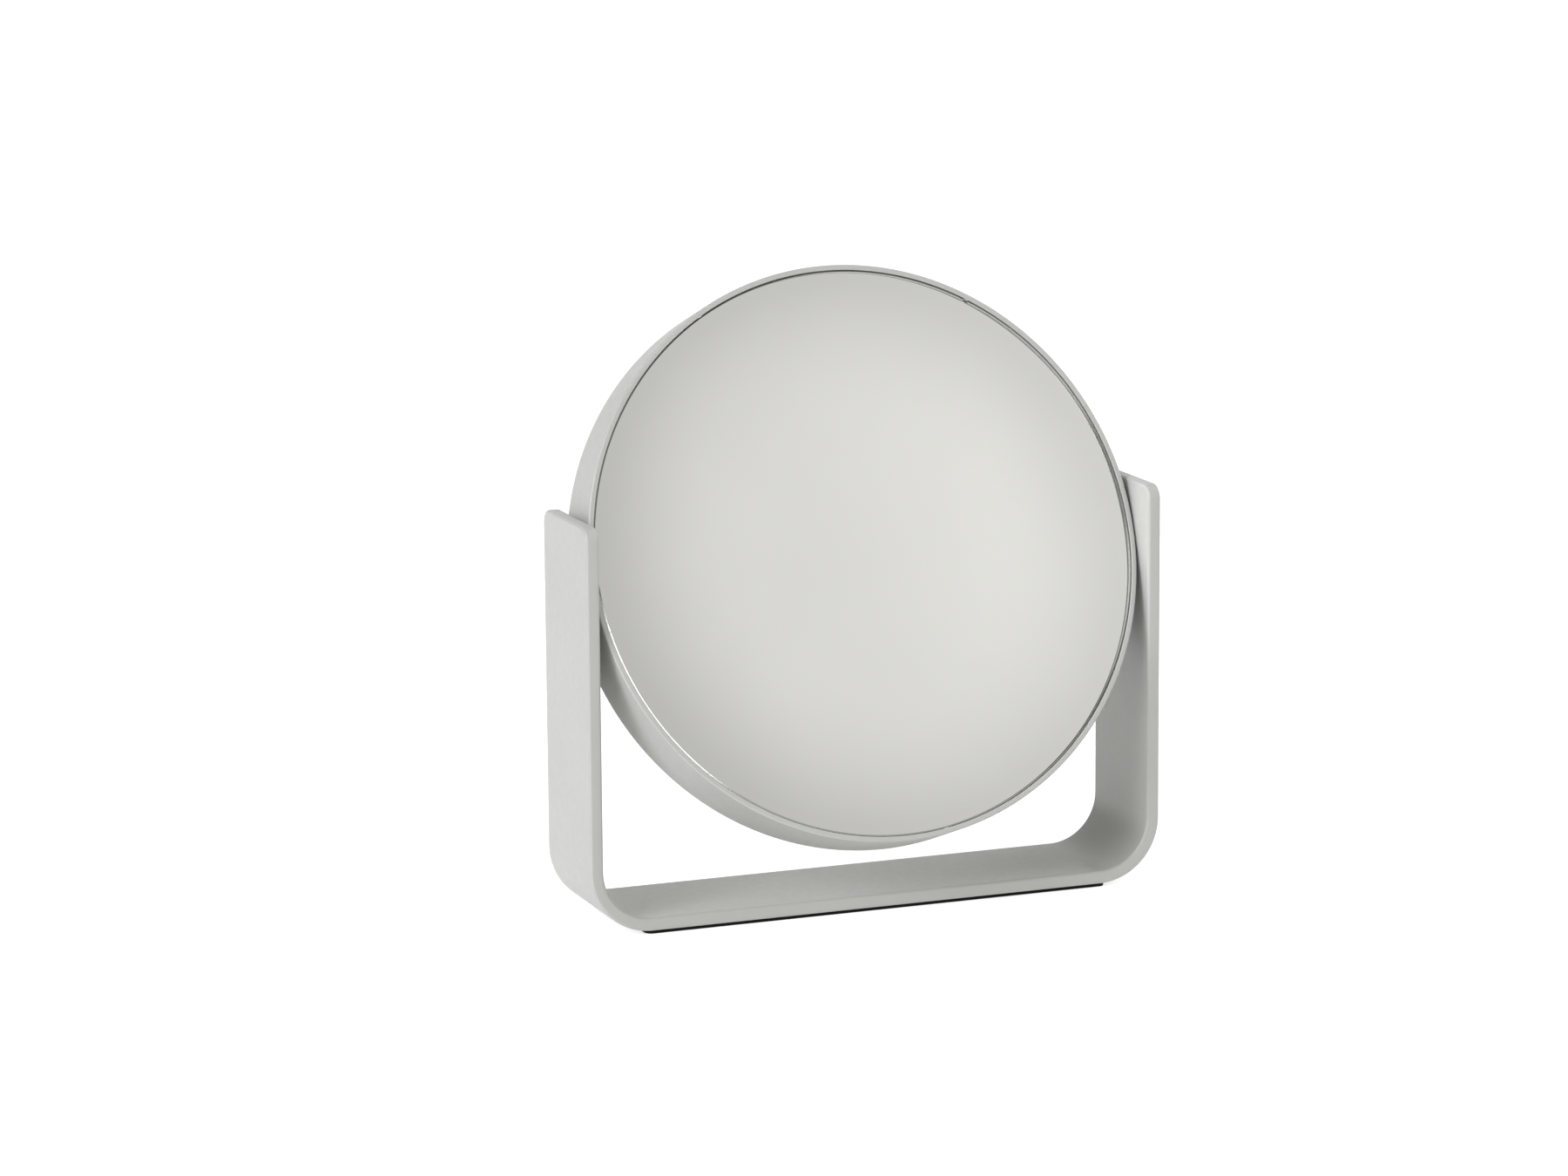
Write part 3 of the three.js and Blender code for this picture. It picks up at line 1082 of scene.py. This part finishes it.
class MIRROR_OT_stage(bpy.types.Operator):
    """Sets the floor, the lights and the camera."""

    bl_idname = "mirror.stage"
    bl_label = "Studio Stage"

    def execute(self, context):
        context.scene.view_settings.view_transform = "Standard"
        self.lay_floor(context)
        self.light_dome(context)
        self.hang_strip_light(context)
        self.place_camera(context)
        return {"FINISHED"}

    def lay_floor(self, context):
        bm = bmesh.new()
        bmesh.ops.create_circle(bm, cap_ends=True, segments=96, radius=FLOOR_RADIUS)
        bmesh.ops.translate(bm, vec=(0, 0, -0.02 * MM), verts=bm.verts)
        mesh = bpy.data.meshes.new("studio_floor")
        bm.to_mesh(mesh)
        bm.free()
        f = Finish("studio_floor")
        tone = colours().floor
        mesh.materials.append(f.set(
            Base_Color=f.blend(f.noise(14, detail=3), shade(tone, 0.99), shade(tone, 1.01)),
            Roughness=0.85,
            Specular_IOR_Level=0.2,
            Emission_Color=(1, 1, 1, 1),
            Emission_Strength=studio().floor_glow,
        ))
        floor = bpy.data.objects.new("studio_floor", mesh)
        context.scene.collection.objects.link(floor)

    def light_dome(self, context):
        """A faint even dome with soft lit areas, as round a product table."""
        world = bpy.data.worlds.new("studio_dome")
        context.scene.world = world
        world.use_nodes = True
        nodes, links = world.node_tree.nodes, world.node_tree.links
        outward = nodes.new("ShaderNodeTexCoord").outputs["Generated"]
        dome = studio().dome_strength
        total = self.area_light(nodes, links, Vector(WHITE) * dome)
        for azimuth, elevation, inner, outer, strength, tint in DOME_AREAS:
            fade = self.dome_area(nodes, links, outward, azimuth, elevation, inner, outer)
            part = self.area_light(nodes, links, Vector(tint) * strength, fade)
            add = nodes.new("ShaderNodeVectorMath")
            add.operation = "ADD"
            links.new(total, add.inputs[0])
            links.new(part, add.inputs[1])
            total = add.outputs["Vector"]
        links.new(total, nodes["Background"].inputs["Color"])
        nodes["Background"].inputs["Strength"].default_value = 1

    def area_light(self, nodes, links, colour, fade=None):
        """The light of one area: its colour and strength, scaled by its fade."""
        scale = nodes.new("ShaderNodeVectorMath")
        scale.operation = "SCALE"
        scale.inputs[0].default_value = colour
        scale.inputs["Scale"].default_value = 1
        if fade:
            links.new(fade, scale.inputs["Scale"])
        return scale.outputs["Vector"]

    def dome_area(self, nodes, links, outward, azimuth, elevation, inner, outer):
        """A soft round area of the dome: full inside one angle, nothing outside another."""
        dot = nodes.new("ShaderNodeVectorMath")
        dot.operation = "DOT_PRODUCT"
        links.new(outward, dot.inputs[0])
        dot.inputs[1].default_value = direction(azimuth, elevation)
        fade = nodes.new("ShaderNodeMapRange")
        fade.interpolation_type = "SMOOTHSTEP"
        fade.inputs["From Min"].default_value = math.cos(math.radians(outer))
        fade.inputs["From Max"].default_value = math.cos(math.radians(inner))
        links.new(dot.outputs["Value"], fade.inputs["Value"])
        return fade.outputs["Result"]

    def hang_strip_light(self, context):
        """A narrow upright softbox beside the camera, for the fine line round the glass."""
        settings = studio()
        top, foot = (
            direction(azimuth, elevation) * settings.strip_distance
            for azimuth, elevation in (STRIP_TOP, STRIP_FOOT)
        )
        light = bpy.data.lights.new("strip_light", "AREA")
        light.shape = "RECTANGLE"
        light.size, light.size_y = settings.strip_width, (top - foot).length
        light.energy = settings.strip_radiance * math.pi * light.size * light.size_y
        lamp = bpy.data.objects.new("strip_light", light)
        forward = -(top + foot).normalized()
        along = (top - foot).normalized()
        across = along.cross(-forward)
        lamp.matrix_world = Matrix.Translation(PIVOT + (top + foot) / 2) @ Matrix(
            (across, along, -forward)
        ).transposed().to_4x4()
        context.scene.collection.objects.link(lamp)

    def place_camera(self, context):
        settings = studio()
        azimuth, elevation = settings.camera_azimuth, settings.camera_elevation
        back = Vector((
            -math.sin(azimuth) * math.cos(elevation),
            -math.cos(azimuth) * math.cos(elevation),
            math.sin(elevation),
        ))
        aim = Vector((settings.aim_across, 0, settings.aim_height))
        data = bpy.data.cameras.new("studio_camera")
        data.lens = settings.camera_lens
        data.sensor_width = SENSOR_WIDTH
        data.clip_start, data.clip_end = 0.05, 40
        camera = bpy.data.objects.new("studio_camera", data)
        right = Vector((0, 0, 1)).cross(back).normalized()
        up = back.cross(right)
        cos, sin = math.cos(settings.camera_roll), math.sin(settings.camera_roll)
        across = cos * right + sin * up
        above = -sin * right + cos * up
        camera.matrix_world = Matrix.Translation(aim + back * settings.camera_distance) @ Matrix(
            (across, above, back)
        ).transposed().to_4x4()
        context.scene.collection.objects.link(camera)
        context.scene.camera = camera


# ---- add-on -------------------------------------------------------------------


STEPS = (
    MIRROR_OT_stage, MIRROR_OT_stand, MIRROR_OT_pad, MIRROR_OT_band,
    MIRROR_OT_rings, MIRROR_OT_glasses, MIRROR_OT_washers, MIRROR_OT_bushes,
    MIRROR_OT_screws, MIRROR_OT_inner_parts,
)


class MIRROR_PT_panel(bpy.types.Panel):
    """Lists the mirror's pieces in the sidebar."""

    bl_idname = "MIRROR_PT_panel"
    bl_label = "Swivel Mirror"
    bl_space_type = "VIEW_3D"
    bl_region_type = "UI"
    bl_category = "Swivel Mirror"

    def draw(self, context):
        for step in STEPS:
            self.layout.operator(step.bl_idname)
        for group in (sizes(), pivots(), colours(), studio()):
            box = self.layout.box()
            for name in group.bl_rna.properties.keys():
                if name not in {"rna_type", "name"}:
                    box.prop(group, name)


GROUPS = (MirrorSizes, PivotSizes, MirrorColours, StudioSettings)
CLASSES = GROUPS + STEPS + (MIRROR_PT_panel,)


def register():
    for cls in CLASSES:
        bpy.utils.register_class(cls)
    bpy.types.Scene.mirror_sizes = PointerProperty(type=MirrorSizes)
    bpy.types.Scene.mirror_pivots = PointerProperty(type=PivotSizes)
    bpy.types.Scene.mirror_colours = PointerProperty(type=MirrorColours)
    bpy.types.Scene.mirror_studio = PointerProperty(type=StudioSettings)


def unregister():
    del bpy.types.Scene.mirror_studio
    del bpy.types.Scene.mirror_colours
    del bpy.types.Scene.mirror_pivots
    del bpy.types.Scene.mirror_sizes
    for cls in reversed(CLASSES):
        bpy.utils.unregister_class(cls)


def main():
    register()
    for step in STEPS:
        group, name = step.bl_idname.split(".")
        getattr(getattr(bpy.ops, group), name)()


if __name__ == "__main__":
    main()
